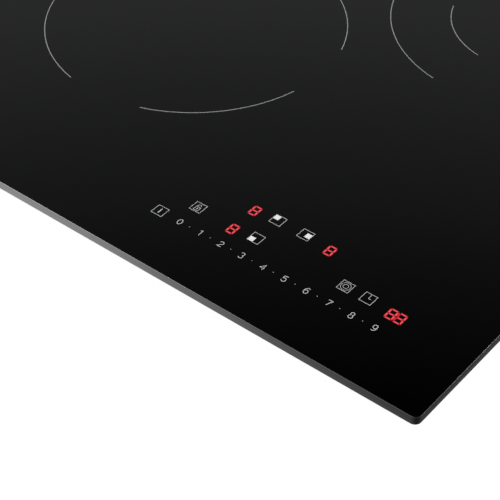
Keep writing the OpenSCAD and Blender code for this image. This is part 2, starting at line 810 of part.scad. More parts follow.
// Insulated wires from the terminals down to the left power board
module mains_wires() color("#7a4a2a")
    for (x = wire_x) translate([x, wire_end_y, 0]) {
        translate([0, 0, board_top]) cylinder(r = lead_r, h = wire_z - wire_bend_r - board_top);
        translate([0, wire_bend_r, wire_z - wire_bend_r]) rotate([90, 0, -90])
            rotate_extrude(angle = 90) translate([wire_bend_r, 0]) circle(lead_r);
        translate([0, wire_bend_r, wire_z]) rotate([-90, 0, 0])
            cylinder(r = lead_r, h = terminal_block_y[0] - wire_end_y - wire_bend_r);
    }

// ---- Worktop clamps ----

// The sides are left -1 or right 1, and front -1 or rear 1
module at_clamp(side, end) translate([side * clamp_x, end * clamp_y, 0]) children();
module at_clamps() for (side = [-1, 1], end = [-1, 1]) at_clamp(side, end) children();

module clamp_screw(side, end) color("#cfd1d3")
    at_clamp(side, end) difference() {
        union() {
            translate([0, 0, clamp_head_z]) cylinder(r = clamp_head_r, h = clamp_head_h);
            translate([0, 0, clamp_head_z]) cylinder(r = clamp_screw_r, h = ledge_top + 5 - clamp_head_z);
        }
        translate([0, 0, clamp_head_z]) cross_recess(5, 1.1, 1.2);
    }

// Arm that lies along the casing's side, towards its middle, and swings out under the worktop
module clamp_arm(side, end) color("#a9adb0")
    at_clamp(side, end) translate([0, 0, clamp_arm_z]) rotate(end > 0 ? -90 : 90) difference() {
        union() {
            linear_extrude(clamp_arm_t) {
                circle(clamp_arm_w / 2);
                translate([0, -clamp_arm_w / 2]) square([clamp_reach, clamp_arm_w]);
            }
            cylinder(r = 4.4, h = 5);
            // toothed lip that bites the worktop
            for (i = [-3:2]) translate([clamp_reach - clamp_arm_t, i * tooth_w, 0]) rotate([90, 0, 90])
                linear_extrude(clamp_arm_t)
                    polygon([[0, 0], [tooth_w, 0], [tooth_w, 4], [tooth_w / 2, 5.4], [0, 4]]);
        }
        translate([0, 0, -1]) cylinder(r = clamp_screw_r + bearing_gap, h = 8);
        translate([19, 0, -1]) linear_extrude(4) slot(12, 5);
    }

module clamp_screw_front_left() clamp_screw(-1, -1);
module clamp_screw_front_right() clamp_screw(1, -1);
module clamp_screw_rear_left() clamp_screw(-1, 1);
module clamp_screw_rear_right() clamp_screw(1, 1);
module clamp_arm_front_left() clamp_arm(-1, -1);
module clamp_arm_front_right() clamp_arm(1, -1);
module clamp_arm_rear_left() clamp_arm(-1, 1);
module clamp_arm_rear_right() clamp_arm(1, 1);

// ---- The assembly ----

glass_top();
worktop_seal();
glass_adhesive();
glass_frame();
casing_tray();
casing_screws();
carrier_front_left();
winding_front_left();
ferrites_front_left();
insulation_front_left();
sensor_front_left();
springs_front_left();
leads_front_left();
carrier_rear_left();
winding_rear_left();
ferrites_rear_left();
insulation_rear_left();
sensor_rear_left();
springs_rear_left();
leads_rear_left();
carrier_right();
winding_right_inner();
winding_right_outer();
ferrites_right();
insulation_right();
sensor_right();
springs_right();
leads_right();
coil_plate();
power_board_left();
power_board_right();
heatsink_left();
heatsink_right();
power_transistors();
film_capacitors();
filter_chokes();
relays();
board_cradle();
fan_housing_left();
fan_housing_right();
fan_impeller_left();
fan_impeller_right();
control_board();
control_frame();
digit_displays();
touch_springs();
control_ribbon();
terminal_box();
terminal_block();
terminal_screws();
terminal_lid();
mains_wires();
clamp_screw_front_left();
clamp_screw_front_right();
clamp_screw_rear_left();
clamp_screw_rear_right();
clamp_arm_front_left();
clamp_arm_front_right();
clamp_arm_rear_left();
clamp_arm_rear_right();
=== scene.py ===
"""Looks of the built-in induction cooktop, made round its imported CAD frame."""

import math

import bpy
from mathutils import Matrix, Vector


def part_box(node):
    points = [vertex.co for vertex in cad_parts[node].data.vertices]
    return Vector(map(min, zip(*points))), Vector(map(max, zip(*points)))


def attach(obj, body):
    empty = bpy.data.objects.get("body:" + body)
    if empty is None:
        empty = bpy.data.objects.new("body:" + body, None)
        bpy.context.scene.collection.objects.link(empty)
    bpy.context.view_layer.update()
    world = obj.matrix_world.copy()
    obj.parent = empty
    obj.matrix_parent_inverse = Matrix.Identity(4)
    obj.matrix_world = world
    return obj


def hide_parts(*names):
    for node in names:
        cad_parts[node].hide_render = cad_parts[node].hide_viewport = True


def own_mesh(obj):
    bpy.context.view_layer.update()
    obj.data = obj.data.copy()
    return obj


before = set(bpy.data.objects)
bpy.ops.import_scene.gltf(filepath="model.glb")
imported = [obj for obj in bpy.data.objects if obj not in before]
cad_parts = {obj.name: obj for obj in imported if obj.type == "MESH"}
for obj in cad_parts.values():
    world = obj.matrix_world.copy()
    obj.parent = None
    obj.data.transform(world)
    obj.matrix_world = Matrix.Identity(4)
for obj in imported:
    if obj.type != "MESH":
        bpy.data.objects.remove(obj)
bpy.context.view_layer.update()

MM = 0.001
UP = Vector((0, 0, 1))
CASING = "casing"
glass_low, glass_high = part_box("glass_top")
GLASS_TOP = glass_high.z

# ---- Mesh making ----

BLOCK_ROUNDING = 0.08
LARGEST_SMOOTH_FACE = 4


class Solids:
    """Closed solids, in metres, that end up in one piece; glow is a lit digit's brightness by point."""

    def __init__(self):
        self.points = []
        self.faces = []
        self.finishes = []
        self.glow = []

    def add_face(self, corners, finish):
        self.faces.append(tuple(corners))
        self.finishes.append(finish)

    def loft(self, rings, closed=False, finish=0, caps=None):
        """Skins equal rings of points; the ends are capped unless the last ring meets the first."""
        start, count = len(self.points), len(rings[0])
        self.points += [tuple(p) for ring in rings for p in ring]
        steps = len(rings) if closed else len(rings) - 1
        for i in range(steps):
            a = start + i * count
            b = start + (i + 1) % len(rings) * count
            for k in range(count):
                m = (k + 1) % count
                self.add_face((a + k, a + m, b + m, b + k), finish)
        if not closed:
            low, high = caps if caps else (finish, finish)
            last = start + (len(rings) - 1) * count
            self.add_face(range(start + count - 1, start - 1, -1), low)
            self.add_face(range(last, last + count), high)

    def prism(self, outline, z_low, z_high, finish=0):
        """Upright prism on a flat outline."""
        self.loft([[(x, y, z) for x, y in outline] for z in (z_low, z_high)], finish=finish)

    def block(self, low, high, finish=0):
        """Block from its lowest to its highest corner, its upright edges slightly rounded."""
        half = ((high[0] - low[0]) / 2, (high[1] - low[1]) / 2)
        middle = ((high[0] + low[0]) / 2, (high[1] + low[1]) / 2)
        outline = rounded_outline(half[0], half[1], min(half) * BLOCK_ROUNDING, steps=2)
        self.prism([(middle[0] + x, middle[1] + y) for x, y in outline], low[2], high[2], finish)

    def stroke(self, path, width, z_low, z_high, closed=False):
        """Flat line of one width along a path seen from above, with mitred corners."""
        rings = []
        for left, right in stroke_sides(path, width, closed):
            rings.append([(*left, z_low), (*right, z_low), (*right, z_high), (*left, z_high)])
        self.loft(rings, closed=closed)

    def tube(self, path, section, reference, closed=False):
        """Sweeps section(i), a list of (across, up) offsets, along a path of points."""
        rings = []
        for i, point in enumerate(path):
            before = path[i - 1] if i or closed else path[i]
            after = path[(i + 1) % len(path)] if i + 1 < len(path) or closed else path[i]
            along = (Vector(after) - Vector(before)).normalized()
            across = along.cross(reference).normalized()
            up = across.cross(along)
            rings.append([Vector(point) + across * u + up * v for u, v in section(i)])
        self.loft(rings, closed=closed)

    def piece(self, name, materials, body=CASING, replaces=(), slot=None, crease=35):
        """Makes the Blender object, smooth up to the crease angle, and ties it to its body."""
        mesh = bpy.data.meshes.new(name)
        mesh.from_pydata(self.points, [], self.faces)
        for material in materials:
            mesh.materials.append(material)
        mesh.polygons.foreach_set("material_index", self.finishes)
        if self.glow:
            mesh.attributes.new("glow", "FLOAT", "POINT").data.foreach_set("value", self.glow)
        mesh.shade_smooth()
        mesh.set_sharp_from_angle(angle=math.radians(crease))
        for face in mesh.polygons:
            face.use_smooth = len(face.vertices) <= LARGEST_SMOOTH_FACE
        mesh.validate()
        thing = bpy.data.objects.new(name, mesh)
        bpy.context.scene.collection.objects.link(thing)
        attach(thing, body)
        if replaces:
            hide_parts(*replaces)
        return thing


def arc(centre, radii, start, end, steps=16):
    """Points of an elliptic arc; angles are in degrees, anticlockwise from the right."""
    angles = [math.radians(start + (end - start) * i / steps) for i in range(steps + 1)]
    return [(centre[0] + radii[0] * math.cos(a), centre[1] + radii[1] * math.sin(a)) for a in angles]


def ellipse(centre, radii, steps=28):
    """Points of a whole ellipse, the first not repeated."""
    return arc(centre, radii, 0, 360, steps)[:-1]


def rounded_outline(half_w, half_d, radius, steps=10):
    """Rectangle with round corners about the origin, anticlockwise."""
    points = []
    for turn, (side, end) in enumerate([(1, 1), (-1, 1), (-1, -1), (1, -1)]):
        centre = (side * (half_w - radius), end * (half_d - radius))
        points += arc(centre, (radius, radius), 90 * turn, 90 * (turn + 1), steps)
    return points


def stroke_sides(path, width, closed):
    """The left and right points of a line of one width, mitred at its corners."""
    longest_mitre = 2.0
    sides = []
    count = len(path)
    for i, point in enumerate(path):
        before = path[i - 1] if i or closed else None
        after = path[(i + 1) % count] if i + 1 < count or closed else None
        ways = []
        for a, b in ((before, point), (point, after)):
            if a is not None and b is not None:
                ways.append((Vector(b) - Vector(a)).normalized())
        along = (ways[0] + ways[-1]).normalized()
        stretch = min(1 / max(along.dot(ways[0]), 0.1), longest_mitre)
        normal = Vector((-along.y, along.x)) * (width / 2 * stretch)
        sides.append((tuple(Vector(point) + normal), tuple(Vector(point) - normal)))
    return sides


def placed(path, centre, scale=MM):
    """A path in millimetres about its own centre, moved to a centre in metres."""
    return [(centre[0] + x * scale, centre[1] + y * scale) for x, y in path]


# ---- Finishes ----


class Finish:
    """A material made of a Principled shader that texture nodes feed."""

    def __init__(self, name, **constants):
        self.material = bpy.data.materials.new(name)
        self.material.use_nodes = True
        self.nodes = self.material.node_tree.nodes
        self.links = self.material.node_tree.links
        self.shader = self.nodes["Principled BSDF"]
        self.space = self.nodes.new("ShaderNodeTexCoord").outputs["Object"]
        for socket, value in constants.items():
            self.shader.inputs[socket.replace("_", " ")].default_value = value

    def stretched(self, stretch):
        """Object coordinates scaled differently along each axis."""
        mapping = self.nodes.new("ShaderNodeMapping")
        mapping.inputs["Scale"].default_value = stretch
        self.links.new(self.space, mapping.inputs["Vector"])
        return mapping.outputs["Vector"]

    def noise(self, scale, detail=3.0, stretch=(1, 1, 1)):
        node = self.nodes.new("ShaderNodeTexNoise")
        self.links.new(self.stretched(stretch), node.inputs["Vector"])
        node.inputs["Scale"].default_value = scale
        node.inputs["Detail"].default_value = detail
        return node.outputs["Fac"]

    def cells(self, scale, output="Distance", metric="EUCLIDEAN", stretch=(1, 1, 1)):
        node = self.nodes.new("ShaderNodeTexVoronoi")
        node.distance = metric
        self.links.new(self.stretched(stretch), node.inputs["Vector"])
        node.inputs["Scale"].default_value = scale
        return node.outputs[output]

    def bands(self, scale, direction="X", distortion=0.0, stretch=(1, 1, 1)):
        node = self.nodes.new("ShaderNodeTexWave")
        node.bands_direction = direction
        self.links.new(self.stretched(stretch), node.inputs["Vector"])
        node.inputs["Scale"].default_value = scale
        node.inputs["Distortion"].default_value = distortion
        return node.outputs["Fac"]

    def blend(self, one, other, share=0.5):
        """Mixes two grey values."""
        node = self.nodes.new("ShaderNodeMix")
        node.inputs["Factor"].default_value = share
        self.links.new(one, node.inputs["A"])
        self.links.new(other, node.inputs["B"])
        return node.outputs["Result"]

    def spread(self, value, low, high, start=0.0, end=1.0):
        """Maps a grey value from start..end to low..high."""
        node = self.nodes.new("ShaderNodeMapRange")
        node.inputs["From Min"].default_value = start
        node.inputs["From Max"].default_value = end
        node.inputs["To Min"].default_value = low
        node.inputs["To Max"].default_value = high
        self.links.new(value, node.inputs["Value"])
        return node.outputs["Result"]

    def colours(self, value, stops, stepped=False):
        """Turns a grey value into colour by stops of (place, colour)."""
        node = self.nodes.new("ShaderNodeValToRGB")
        ramp = node.color_ramp
        if stepped:
            ramp.interpolation = "CONSTANT"
        while len(ramp.elements) < len(stops):
            ramp.elements.new(0.5)
        for element, (place, colour) in zip(ramp.elements, stops):
            element.position = place
            element.color = (*colour, 1.0)
        self.links.new(value, node.inputs["Fac"])
        return node.outputs["Color"]

    def feed(self, socket, value):
        self.links.new(value, self.shader.inputs[socket])

    def bump(self, height, depth):
        """Bump of that depth, in metres, from a grey value."""
        node = self.nodes.new("ShaderNodeBump")
        node.inputs["Strength"].default_value = 1.0
        node.inputs["Distance"].default_value = depth
        self.links.new(height, node.inputs["Height"])
        self.feed("Normal", node.outputs["Normal"])


def shades(colour, spread):
    """A darker and a lighter version of a colour."""
    darker = tuple(c * (1 - spread) for c in colour)
    lighter = tuple(min(1.0, c * (1 + spread)) for c in colour)
    return darker, lighter


def mottled(name, colour, spread, scale, rough, depth, grain):
    """Moulded or pressed matter: uneven colour and gloss, with a fine grain."""
    finish = Finish(name)
    patches = finish.noise(scale, detail=4)
    dark, light = shades(colour, spread)
    finish.feed("Base Color", finish.colours(patches, [(0.3, dark), (0.7, light)]))
    fine = finish.noise(grain, detail=2)
    finish.feed("Roughness", finish.spread(finish.blend(patches, fine), *rough, start=0.3, end=0.7))
    finish.bump(fine, depth)
    return finish.material


def brushed(name, colour, stretch, rough, scale=60):
    """Rolled, drawn or extruded metal with fine lines along one way."""
    finish = Finish(name, Metallic=1.0)
    lines = finish.noise(scale, detail=6, stretch=stretch)
    clouds = finish.noise(22, detail=3)
    dark, light = shades(colour, 0.12)
    both = finish.blend(lines, clouds, 0.4)
    finish.feed("Base Color", finish.colours(both, [(0.3, dark), (0.72, light)]))
    finish.feed("Roughness", finish.spread(both, *rough, start=0.3, end=0.7))
    finish.bump(lines, 0.00002)
    return finish.material


def galvanised(name):
    """Zinc-coated sheet: crystals of slightly different grey, with faint rolling lines."""
    finish = Finish(name, Metallic=0.9)
    crystals = finish.cells(170, output="Color")
    lines = finish.noise(40, detail=5, stretch=(1, 14, 14))
    grey = finish.blend(crystals, lines, 0.45)
    stops = [(0.15, (0.27, 0.285, 0.295)), (0.5, (0.37, 0.385, 0.395)), (0.9, (0.48, 0.495, 0.50))]
    finish.feed("Base Color", finish.colours(grey, stops))
    finish.feed("Roughness", finish.spread(grey, 0.34, 0.52, start=0.2, end=0.8))
    finish.bump(finish.noise(900, detail=2), 0.000012)
    return finish.material


def litz(name):
    """Bundle of fine enamelled copper strands."""
    finish = Finish(name, Metallic=0.75, Coat_Weight=0.25, Coat_Roughness=0.3)
    strands = finish.bands(420, direction="DIAGONAL", distortion=1.2)
    patches = finish.noise(90, detail=4)
    both = finish.blend(strands, patches, 0.4)
    stops = [(0.2, (0.20, 0.075, 0.03)), (0.55, (0.50, 0.21, 0.085)), (0.85, (0.72, 0.36, 0.17))]
    finish.feed("Base Color", finish.colours(both, stops))
    finish.feed("Roughness", finish.spread(both, 0.3, 0.5))
    finish.bump(strands, 0.00006)
    return finish.material


def laminate(name):
    """Solder-masked board: square-cornered tracks and small plated holes under a green varnish."""
    finish = Finish(name, Coat_Weight=0.5, Coat_Roughness=0.12)
    tracks = finish.cells(230, metric="MANHATTAN", stretch=(1, 0.35, 1))
    holes = finish.cells(160)
    stops = [(0.0, (0.012, 0.085, 0.035)), (0.42, (0.02, 0.13, 0.05)), (0.5, (0.008, 0.055, 0.022))]
    varnish = finish.colours(tracks, stops)
    mix = finish.nodes.new("ShaderNodeMix")
    mix.data_type = "RGBA"
    # A Mix node's colour sockets share their names with its float ones, so they are taken by number.
    share, first, second, result = mix.inputs[0], mix.inputs[6], mix.inputs[7], mix.outputs[2]
    finish.links.new(finish.spread(holes, 1.0, 0.0, start=0.1, end=0.14), share)
    finish.links.new(varnish, first)
    second.default_value = (0.45, 0.43, 0.38, 1.0)
    finish.feed("Base Color", result)
    finish.feed("Roughness", finish.spread(tracks, 0.25, 0.42))
    finish.bump(tracks, 0.00004)
    return finish.material


def mica_board(name):
    """Pressed mica: overlapping flakes with a pearly sheen."""
    finish = Finish(name, Coat_Weight=0.3, Coat_Roughness=0.25)
    flakes = finish.cells(260, output="Color")
    cloud = finish.noise(60, detail=5)
    both = finish.blend(flakes, cloud)
    finish.feed("Base Color", finish.colours(both, [(0.2, (0.60, 0.55, 0.44)), (0.8, (0.80, 0.76, 0.66))]))
    finish.feed("Roughness", finish.spread(both, 0.35, 0.6))
    finish.bump(flakes, 0.00003)
    return finish.material


def braided(name):
    """Glass-fibre sleeve: two sets of crossing threads."""
    finish = Finish(name)
    right = finish.bands(900, direction="DIAGONAL")
    left = finish.bands(900, direction="DIAGONAL", stretch=(-1, 1, 1))
    weave = finish.blend(right, left)
    finish.feed("Base Color", finish.colours(weave, [(0.2, (0.42, 0.38, 0.31)), (0.8, (0.72, 0.68, 0.59))]))
    finish.feed("Roughness", finish.spread(weave, 0.6, 0.8))
    finish.bump(weave, 0.00012)
    return finish.material


def foam(name):
    """Closed-cell foam: pits of two sizes in a black skin."""
    finish = Finish(name, Sheen_Weight=0.15)
    large = finish.cells(1300)
    small = finish.cells(2900)
    pits = finish.blend(large, small)
    stops = [(0.1, (0.012, 0.012, 0.013)), (0.6, (0.045, 0.045, 0.048))]
    finish.feed("Base Color", finish.colours(pits, stops))
    finish.feed("Roughness", finish.spread(pits, 0.75, 0.95))
    finish.bump(pits, 0.0003)
    return finish.material


def wound_copper(name):
    """Thick enamelled wire laid side by side round a core."""
    finish = Finish(name, Metallic=0.8, Coat_Weight=0.6, Coat_Roughness=0.1)
    turns = finish.bands(190, direction="DIAGONAL")
    patches = finish.noise(120)
    stops = [(0.2, (0.25, 0.09, 0.03)), (0.75, (0.68, 0.33, 0.13))]
    finish.feed("Base Color", finish.colours(finish.blend(turns, patches, 0.3), stops))
    finish.feed("Roughness", finish.spread(patches, 0.22, 0.4))
    finish.bump(turns, 0.0003)
    return finish.material


def flat_cable(name):
    """Conductors side by side in a pale film."""
    finish = Finish(name, Coat_Weight=0.4, Coat_Roughness=0.15)
    ribs = finish.bands(126, direction="X")
    stain = finish.noise(80)
    stops = [(0.3, (0.45, 0.43, 0.38)), (0.7, (0.76, 0.74, 0.67))]
    finish.feed("Base Color", finish.colours(finish.blend(ribs, stain, 0.3), stops))
    finish.feed("Roughness", finish.spread(stain, 0.25, 0.4))
    finish.bump(ribs, 0.00015)
    return finish.material


def mains_colours(name):
    """Wires told apart by colour across the terminals: blue, green-yellow and brown."""
    low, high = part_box("mains_wires")
    finish = Finish(name, Coat_Weight=0.2, Coat_Roughness=0.2)
    split = finish.nodes.new("ShaderNodeSeparateXYZ")
    finish.links.new(finish.space, split.inputs["Vector"])
    across = finish.spread(split.outputs["X"], 0.0, 1.0, start=low.x, end=high.x)
    stops = [(0.0, (0.03, 0.12, 0.45)), (0.33, (0.45, 0.55, 0.05)), (0.67, (0.20, 0.08, 0.03))]
    wires = finish.colours(across, stops, stepped=True)
    fine = finish.noise(500)
    finish.feed("Base Color", wires)
    finish.feed("Roughness", finish.spread(fine, 0.3, 0.5))
    finish.bump(fine, 0.00003)
    return finish.material


def polished_glass(name):
    """Black glass ceramic, polished, with the faintest cloud in its colour and gloss."""
    finish = Finish(name, IOR=1.5)
    cloud = finish.noise(9, detail=2)
    stops = [(0.3, (0.0003, 0.0003, 0.0003)), (0.7, (0.0006, 0.0006, 0.0005))]
    finish.feed("Base Color", finish.colours(cloud, stops))
    finish.feed("Roughness", finish.spread(cloud, 0.05, 0.07, start=0.3, end=0.7))
    finish.bump(finish.noise(14, detail=1), 0.00002)
    return finish.material


def dimpled_glass(name):
    """The rolled underside of the glass, with rows of small dimples."""
    finish = Finish(name, IOR=1.5)
    dimples = finish.cells(330)
    cloud = finish.noise(14)
    stops = [(0.3, (0.002, 0.002, 0.002)), (0.7, (0.005, 0.005, 0.005))]
    finish.feed("Base Color", finish.colours(cloud, stops))
    finish.feed("Roughness", finish.spread(cloud, 0.12, 0.22))
    finish.bump(dimples, 0.0002)
    return finish.material


def ground_glass(name, colour, gloss):
    """The ground rim of the glass: grey from the wheel, with fine marks along it."""
    finish = Finish(name, IOR=1.5, Specular_IOR_Level=gloss)
    marks = finish.noise(30, detail=6, stretch=(1, 1, 40))
    grain = finish.noise(2600, detail=2)
    both = finish.blend(marks, grain, 0.2)
    dark, light = shades(colour, 0.12)
    finish.feed("Base Color", finish.colours(both, [(0.3, dark), (0.7, light)]))
    finish.feed("Roughness", finish.spread(both, 0.30, 0.42, start=0.3, end=0.7))
    finish.bump(both, 0.000004)
    return finish.material


def enamel(name, colour):
    """Screen-printed and fired ceramic colour, slightly uneven."""
    finish = Finish(name)
    grain = finish.noise(3500, detail=2)
    film = finish.noise(400, detail=3)
    both = finish.blend(grain, film)
    dark, light = shades(colour, 0.06)
    finish.feed("Base Color", finish.colours(both, [(0.3, dark), (0.7, light)]))
    finish.feed("Roughness", finish.spread(both, 0.45, 0.65))
    finish.bump(grain, 0.000005)
    return finish.material


def lit_segment(name, core, tip, brightness):
    """A lit display bar: bright along its middle and deeper red towards its ends."""
    finish = Finish(name, Roughness=0.4)
    glow = finish.nodes.new("ShaderNodeAttribute")
    glow.attribute_name = "glow"
    grain = finish.noise(2500, detail=1)
    light = finish.blend(glow.outputs["Fac"], grain, 0.08)
    finish.feed("Emission Color", finish.colours(light, [(0.1, tip), (0.8, core)]))
    finish.shader.inputs["Emission Strength"].default_value = brightness
    stops = [(0.3, (0.02, 0.001, 0.001)), (0.7, (0.04, 0.002, 0.002))]
    finish.feed("Base Color", finish.colours(grain, stops))
    return finish.material


SLOT_FINISHES = {
    "glass_ceramic": dimpled_glass,
    "foam_rubber": foam,
    "silicone": lambda n: mottled(n, (0.02, 0.02, 0.02), 0.3, 40, (0.2, 0.4), 0.0001, 260),
    "galvanised_steel": galvanised,
    "aluminium_sheet": lambda n: brushed(n, (0.70, 0.71, 0.72), (1, 26, 26), (0.28, 0.45)),
    "heatsink_aluminium": lambda n: brushed(n, (0.60, 0.62, 0.64), (40, 1, 40), (0.3, 0.5)),
    "zinc_screw": lambda n: brushed(n, (0.66, 0.66, 0.62), (1, 1, 1), (0.2, 0.4), scale=700),
    "spring_steel": lambda n: brushed(n, (0.58, 0.58, 0.59), (1, 1, 3), (0.25, 0.4), scale=500),
    "coil_former": lambda n: mottled(n, (0.62, 0.59, 0.50), 0.1, 60, (0.55, 0.75), 0.00005, 900),
    "litz_copper": litz,
    "ferrite": lambda n: mottled(n, (0.045, 0.045, 0.048), 0.35, 150, (0.5, 0.75), 0.00006, 1200),
    "mica": mica_board,
    "sensor_ceramic": lambda n: mottled(n, (0.82, 0.82, 0.79), 0.05, 90, (0.5, 0.7), 0.00003, 1500),
    "silicone_sleeve": braided,
    "circuit_board": laminate,
    "black_epoxy": lambda n: mottled(n, (0.022, 0.022, 0.024), 0.3, 80, (0.45, 0.65), 0.00004, 1400),
    "capacitor_case": lambda n: mottled(n, (0.42, 0.055, 0.035), 0.12, 50, (0.35, 0.5), 0.00003, 900),
    "choke_copper": wound_copper,
    "relay_case": lambda n: mottled(n, (0.03, 0.04, 0.052), 0.2, 50, (0.2, 0.35), 0.00002, 700),
    "black_polyamide": lambda n: mottled(n, (0.026, 0.027, 0.029), 0.25, 40, (0.5, 0.7), 0.00005, 1100),
    "white_polyamide": lambda n: mottled(n, (0.74, 0.73, 0.68), 0.06, 40, (0.45, 0.6), 0.00004, 1000),
    "display_case": lambda n: mottled(n, (0.76, 0.76, 0.74), 0.05, 60, (0.3, 0.45), 0.00002, 800),
    "contact_spring": lambda n: brushed(n, (0.76, 0.60, 0.34), (1, 1, 2), (0.22, 0.38), scale=600),
    "ribbon_film": flat_cable,
    "wire_insulation": mains_colours,
}
finishes = {slot: make(slot + "_finish") for slot, make in SLOT_FINISHES.items()}

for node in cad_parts.values():
    for place in node.material_slots:
        slot_name = place.material.name.split(".")[0] if place.material else None
        if slot_name in finishes:
            place.material = finishes[slot_name]

# ---- Glass ----

CORNER_RADIUS = 4 * MM
ARRIS = 0.2 * MM
ARRIS_STEPS = 4
POLISHED_FACE, RIM_FACE, UNDERSIDE_FACE, ARRIS_FACE = range(4)
PRINT_LOW = GLASS_TOP - 0.02 * MM
PRINT_HIGH = GLASS_TOP + 0.03 * MM

polished = polished_glass("glass_polished")
ground = ground_glass("glass_ground_rim", (0.0075, 0.0075, 0.0076), 0.02)
arris = ground_glass("glass_arris", (0.02, 0.02, 0.0201), 0.5)
white_print = enamel("print_white", (0.94, 0.94, 0.93))
fine_print = enamel("print_fine", (0.61, 0.62, 0.62))
grey_print = enamel("print_grey", (0.36, 0.37, 0.37))
red_light = lit_segment("segment_red", (0.92, 0.085, 0.11), (0.55, 0.006, 0.012), 1.0)


def make_glass():
    """The glass sheet, its ground rim rounded towards both faces."""
    half_w = (glass_high.x - glass_low.x) / 2
    half_d = (glass_high.y - glass_low.y) / 2
    middle = (glass_low + glass_high) / 2
    quarter = [math.pi / 2 * i / ARRIS_STEPS for i in range(ARRIS_STEPS + 1)]
    lower = [(ARRIS * (1 - math.sin(a)), glass_low.z + ARRIS * (1 - math.cos(a))) for a in quarter]
    upper = [(ARRIS * (1 - math.cos(a)), GLASS_TOP - ARRIS * (1 - math.sin(a))) for a in quarter]
    rings = []
    for inset, z in lower + upper:
        outline = rounded_outline(half_w - inset, half_d - inset, CORNER_RADIUS - inset)
        rings.append([(middle.x + x, middle.y + y, z) for x, y in outline])
    glass = Solids()
    glass.loft(rings, finish=RIM_FACE, caps=(UNDERSIDE_FACE, POLISHED_FACE))
    first_arris = len(outline) * len(lower)
    for i in range(first_arris, first_arris + len(outline) * (len(upper) - 1)):
        glass.finishes[i] = ARRIS_FACE
    materials = [polished, ground, finishes["glass_ceramic"], arris]
    return glass.piece("glass_sheet", materials, replaces=["glass_top"], slot="glass_ceramic")


glass_sheet = make_glass()


def from_corner(x, y):
    """A point on the glass, in millimetres from its front right corner."""
    return (glass_high.x + x * MM, glass_low.y + y * MM)


def node_centre(node):
    """Middle of a CAD node seen from above, and half its width."""
    low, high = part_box(node)
    return ((low.x + high.x) / 2, (low.y + high.y) / 2), (high.x - low.x) / 2


# ---- Zone rings ----

RING_LINE = 0.56 * MM
RING_STARTS = [-70, 20, 110, 200]
RING_SWEEP = 58
COIL_MARGIN = 5 * MM
SMALL_COIL_MARGIN = 4.5 * MM
INNER_RING_R = 60 * MM


def make_ring(name, centre, radius):
    """Four printed arcs with gaps between them."""
    ring = Solids()
    for start in RING_STARTS:
        path = arc(centre, (radius, radius), start, start + RING_SWEEP, steps=40)
        ring.stroke(path, RING_LINE, PRINT_LOW, PRINT_HIGH)
    ring.piece(name, [grey_print], slot="glass_ceramic")


front_left, large_coil = node_centre("carrier_front_left")
rear_left, small_coil = node_centre("carrier_rear_left")
right, _ = node_centre("carrier_right")
make_ring("zone_ring_front_left", front_left, large_coil + COIL_MARGIN)
make_ring("zone_ring_rear_left", rear_left, small_coil + SMALL_COIL_MARGIN)
make_ring("zone_ring_right_outer", right, large_coil + COIL_MARGIN)
make_ring("zone_ring_right_inner", right, INNER_RING_R)

# ---- Slider numbers ----

NUMBER_LINE = 0.41 * MM
NUMBER_SCALE = 0.95 * MM
NUMBER_X = -188.9
NUMBER_Y = 39.05
NUMBER_PITCH = 15
DOT_RADIUS = 0.31 * MM
DOT_SHIFT = (-0.42, 0.15)
W, H = 1.4, 2.2


def half_turned(paths):
    """The same paths turned by half a turn."""
    return [([(-x, -y) for x, y in path], closed) for path, closed in paths]


SIX = [
    (ellipse((0.02, -0.87), (W - 0.08, 1.52)), True),
    (arc((0.28, -0.5), (1.72, 2.9), 62, 176), False),
]
NUMERALS = [
    [(ellipse((0, 0), (W - 0.02, H)), True)],
    [([(-0.85, 1.45), (0.1, 1.95), (0.42, H + 0.1), (0.42, -H - 0.1)], False)],
    [(arc((0, 1.0), (W - 0.12, H - 1.0), 172, -38) + [(-W, -H), (W + 0.15, -H)], False)],
    [
        (arc((-0.05, 1.24), (W - 0.22, 1.18), 158, -90), False),
        (arc((-0.05, -1.18), (W, 1.24), 90, -158), False),
    ],
    [([(0.85, -H - 0.1), (0.85, H), (-W - 0.1, -0.95), (W + 0.2, -0.95)], False)],
    [([(W - 0.1, H), (-1.02, H), (-1.3, 0.2)] + arc((-0.05, -0.88), (W, 1.54), 142, -155), False)],
    SIX,
    [([(-W, H), (W + 0.05, H), (0.35, 0.1), (-0.45, -H - 0.1)], False)],
    [(ellipse((0, 1.22), (W - 0.25, 1.2)), True), (ellipse((0, -1.2), (W, 1.22)), True)],
    half_turned(SIX),
]


def make_numbers():
    numbers, dots = Solids(), Solids()
    for i, numeral in enumerate(NUMERALS):
        centre = from_corner(NUMBER_X + i * NUMBER_PITCH, NUMBER_Y)
        for path, closed in numeral:
            numbers.stroke(placed(path, centre, NUMBER_SCALE), NUMBER_LINE, PRINT_LOW, PRINT_HIGH, closed)
        if i + 1 < len(NUMERALS):
            dot_x = NUMBER_X + (i + 0.5) * NUMBER_PITCH + DOT_SHIFT[0]
            between = from_corner(dot_x, NUMBER_Y + DOT_SHIFT[1])
            dots.prism(ellipse(between, (DOT_RADIUS, DOT_RADIUS), 12), PRINT_LOW, PRINT_HIGH)
    numbers.piece("slider_numbers", [fine_print], slot="glass_ceramic")
    dots.piece("slider_dots", [grey_print], slot="glass_ceramic")


make_numbers()

# ---- Touch keys ----

KEY_LINE = 0.29 * MM
KEY_HALF = 3.73
POWER_LINE = 0.62 * MM
LOCK_LINE = 0.32 * MM
KEYHOLE_LINE = 0.28 * MM
KEYHOLE_R = 0.36
DUAL_RING_LINE = 0.25 * MM


def box_outline(x_low, y_low, x_high, y_high):
    return [(x_low, y_low), (x_high, y_low), (x_high, y_high), (x_low, y_high)]


SQUARE = box_outline(-KEY_HALF, -KEY_HALF, KEY_HALF, KEY_HALF)


